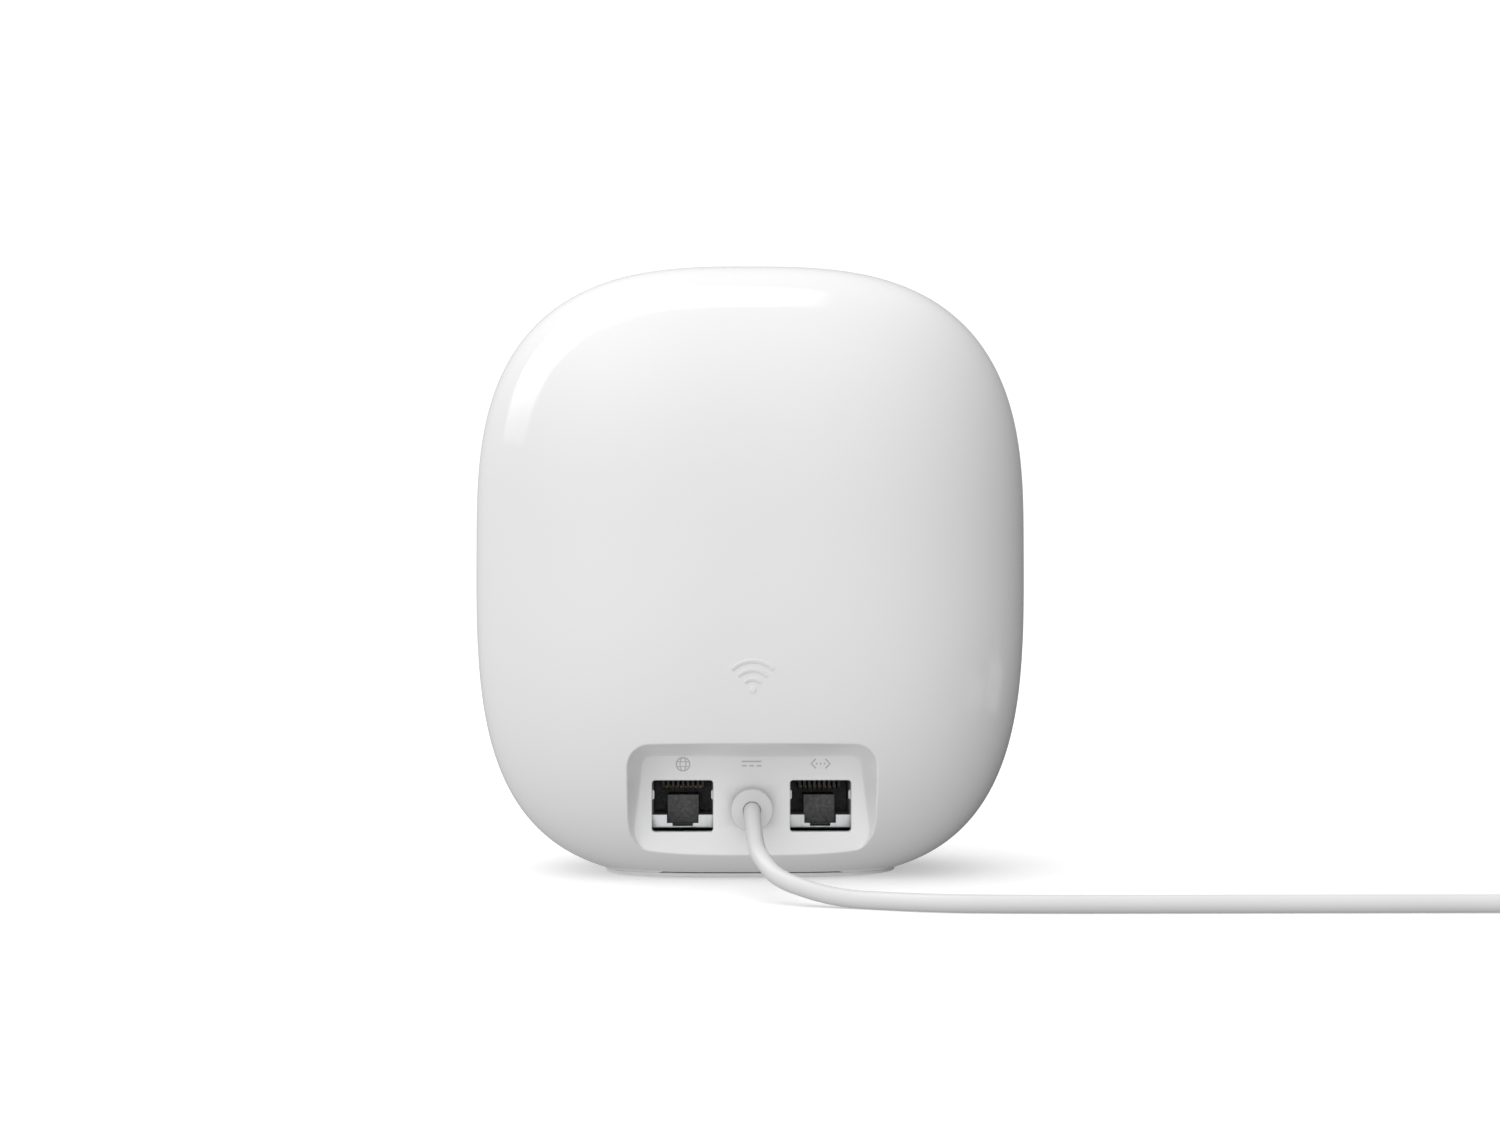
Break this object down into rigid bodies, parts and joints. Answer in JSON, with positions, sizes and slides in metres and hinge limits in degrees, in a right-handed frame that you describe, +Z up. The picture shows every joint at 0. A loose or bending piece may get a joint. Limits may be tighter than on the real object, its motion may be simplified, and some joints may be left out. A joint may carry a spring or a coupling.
{
  "type": "wireless router",
  "caption": "Upright rounded wireless router with rear port recess, network and power jacks, inner boards, reset button, power lead coil and wall adapter.",
  "frame": {"origin": "on the floor under the middle of the case, where the foot pad rests", "axes": "+Z up; +Y towards the back, where the ports are; +X to the right seen from the front, so the power lead runs off to -X"},
  "size_m": [0.2885, 0.115, 0.1293],
  "materials": {
    "case_white": "polished white plastic",
    "base_white": "fine matte white plastic",
    "foot_rubber": "soft pale grey silicone",
    "button_grey": "matte grey plastic",
    "frame_black": "matte black moulding",
    "jack_black": "black moulding with a fine grain",
    "steel": "tin-plated sheet steel",
    "contact_gold": "gold-plated contact",
    "aluminium": "cast and milled aluminium",
    "board_green": "green solder mask on glass fibre",
    "chip_black": "moulded chip package",
    "pad_blue": "soft thermal pad",
    "light_clear": "milky clear plastic",
    "cord_white": "satin white cable jacket",
    "tie_black": "black woven tie",
    "adapter_white": "satin white plastic"
  },
  "bodies": {
    "router": {"front_shell": "case_white", "rear_shell": "case_white", "base_cover": "base_white", "foot_pad": "foot_rubber", "base_screw_1": "steel", "base_screw_2": "steel", "base_screw_3": "steel", "base_screw_4": "steel", "reset_switch": "steel", "inner_frame": "frame_black", "antenna_top_left": "steel", "antenna_top_right": "steel", "antenna_left_lower": "steel", "antenna_left_upper": "steel", "antenna_right_lower": "steel", "antenna_right_upper": "steel", "main_board": "board_green", "board_screw_1": "steel", "board_screw_2": "steel", "board_screw_3": "steel", "board_screw_4": "steel", "processor": "chip_black", "memory_chip": "chip_black", "front_thermal_pad": "pad_blue", "radio_shield_left": "steel", "radio_shield_right": "steel", "rear_thermal_pad_left": "pad_blue", "rear_thermal_pad_right": "pad_blue", "front_heat_spreader": "aluminium", "rear_heat_sink": "aluminium", "light_board": "board_green", "status_led": "light_clear", "light_guide": "light_clear", "wan_jack_shield": "steel", "wan_jack_housing": "jack_black", "wan_jack_contacts": "contact_gold", "lan_jack_shield": "steel", "lan_jack_housing": "jack_black", "lan_jack_contacts": "contact_gold", "power_jack_housing": "jack_black", "power_jack_pin": "steel", "power_jack_contact": "contact_gold"},
    "reset_button": {"reset_button": "button_grey", "reset_switch_plunger": "chip_black"},
    "power_lead": {"power_plug": "cord_white", "power_plug_barrel": "steel", "power_cord": "cord_white", "power_cord_coil": "cord_white", "power_cord_end": "cord_white", "cable_tie_1": "tie_black", "cable_tie_2": "tie_black", "adapter_front_case": "adapter_white", "adapter_back_case": "adapter_white", "adapter_blade_1": "steel", "adapter_blade_2": "steel", "adapter_strain_relief": "cord_white", "adapter_board": "board_green", "adapter_transformer": "chip_black", "adapter_capacitor": "chip_black"}
  },
  "joints": [
    {"name": "reset_button_press", "type": "slide", "parent": "router", "child": "reset_button", "axis": [0, 0, 1], "range_m": [0, 0.0008], "stiffness_N_per_m": 800, "springref_m": -0.0015},
    {"name": "power_plug_pull", "type": "slide", "parent": "router", "child": "power_lead", "axis": [0, 1, 0], "range_m": [0, 0.0105]}
  ]
}
